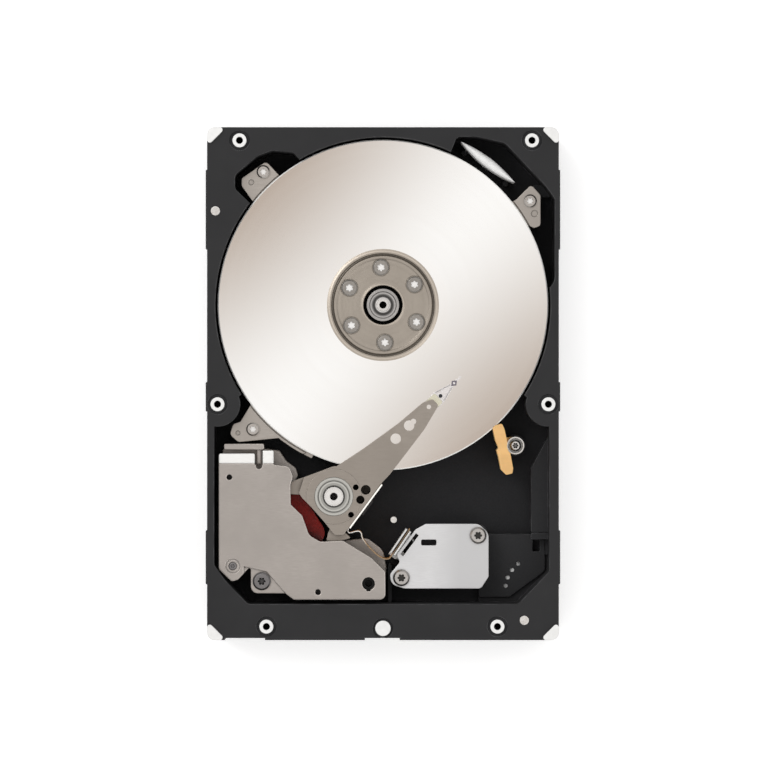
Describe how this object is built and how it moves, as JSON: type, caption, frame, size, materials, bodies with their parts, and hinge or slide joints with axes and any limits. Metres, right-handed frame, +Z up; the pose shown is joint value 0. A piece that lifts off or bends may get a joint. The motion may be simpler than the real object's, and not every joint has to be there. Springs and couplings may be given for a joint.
{
  "type": "hard disk drive",
  "caption": "Opened hard disk drive: black cast tub holding a disk stack on a spindle, a swinging head actuator with its voice coil motor, filters, a load ramp and a circuit board below.",
  "frame": {"origin": "middle of the footprint, on the plane of the two underside rails", "axes": "+Y from the connector end to the disk end, +X to the right seen from above with the connector end near, +Z up through the open top"},
  "size_m": [0.1016, 0.147, 0.025],
  "materials": {
    "casting": "satin black coating over die-cast aluminium, bare machined pads and bosses",
    "bright_steel": "bright machined steel",
    "satin_steel": "satin",
    "plated_steel": "satin nickel plate",
    "laminations": "stacked laminations",
    "winding": "enamelled copper wire, dark red",
    "contact_gold": "gold plate",
    "flex_film": "amber polyimide film",
    "platter": "mirror-polished sputtered film",
    "clamp_metal": "turned, satin",
    "bare_aluminium": "satin",
    "arm_metal": "satin extruded",
    "filter_cloth": "white felt",
    "ramp_plastic": "orange-tan acetal",
    "magnet": "nickel-plated magnet",
    "bracket_metal": "bright satin",
    "frame_plastic": "beige moulded resin",
    "black_plastic": "black",
    "rubber_black": "black",
    "board": "green solder mask on glass-epoxy",
    "passives": "tan ceramic with tinned ends",
    "slider_ceramic": "dark ceramic",
    "foam": "soft grey foam"
  },
  "bodies": {
    "base": {"base_casting": "casting", "cover_dowel_pins": "bright_steel", "locating_pin": "bright_steel", "motor_shaft": "bright_steel", "stator_core": "laminations", "stator_coils": "winding", "motor_contacts": "flex_film", "damper_plates": "plated_steel", "damper_screws": "bright_steel", "recirculation_filter": "filter_cloth", "load_ramp": "ramp_plastic", "ramp_screw": "bright_steel", "vcm_bottom_plate": "plated_steel", "vcm_bottom_magnet": "magnet", "vcm_top_magnet": "magnet", "vcm_top_plate": "plated_steel", "vcm_standoffs": "satin_steel", "vcm_screws": "satin_steel", "crash_stop_pins": "satin_steel", "crash_stop_sleeves": "rubber_black", "pivot_shaft": "bright_steel", "pivot_inner_races": "bright_steel", "flex_bracket": "bracket_metal", "bracket_screws": "satin_steel", "flex_clamp": "bracket_metal", "head_connector": "black_plastic", "connector_seal": "rubber_black", "breather_filter": "filter_cloth", "flex_cable": "flex_film", "circuit_board": "board", "sata_connector": "black_plastic", "sata_contacts": "contact_gold", "jumper_block": "black_plastic", "controller_chip": "black_plastic", "memory_chip": "black_plastic", "motor_driver_chip": "black_plastic", "board_small_parts": "passives", "board_foam_pad": "foam", "board_screws": "satin_steel"},
    "spindle": {"spindle_hub": "satin_steel", "bearing_sleeve": "bright_steel", "rotor_magnet": "black_plastic", "disk_clamp": "clamp_metal", "clamp_screws": "bright_steel", "platter_spacers": "bare_aluminium", "platter_1": "platter", "platter_2": "platter", "platter_3": "platter", "platter_4": "platter"},
    "actuator": {"arm_block": "arm_metal", "pivot_sleeve": "satin_steel", "pivot_outer_races": "bright_steel", "voice_coil": "winding", "coil_frame": "frame_plastic", "head_suspensions": "bright_steel", "head_sliders": "slider_ceramic", "arm_flex": "flex_film", "preamp_chip": "black_plastic"},
    "bearing_balls": {"pivot_balls": "bright_steel"}
  },
  "joints": [
    {"name": "spindle_spin", "type": "hinge", "parent": "base", "child": "spindle", "pos_m": [0, 0.0226, 0.015], "axis": [0, 0, 1], "continuous": true},
    {"name": "actuator_swing", "type": "hinge", "parent": "base", "child": "actuator", "pos_m": [-0.0141, -0.0324, 0.0145], "axis": [0, 0, 1], "range_deg": [-25, 12], "deforming": ["flex_cable"]},
    {"name": "ball_orbit", "type": "hinge", "parent": "base", "child": "bearing_balls", "pos_m": [-0.0141, -0.0324, 0.0145], "axis": [0, 0, 1], "range_deg": [-17, 8]}
  ],
  "couplings": [
    {"joint": "ball_orbit", "follows": "actuator_swing", "ratio": 0.647}
  ]
}
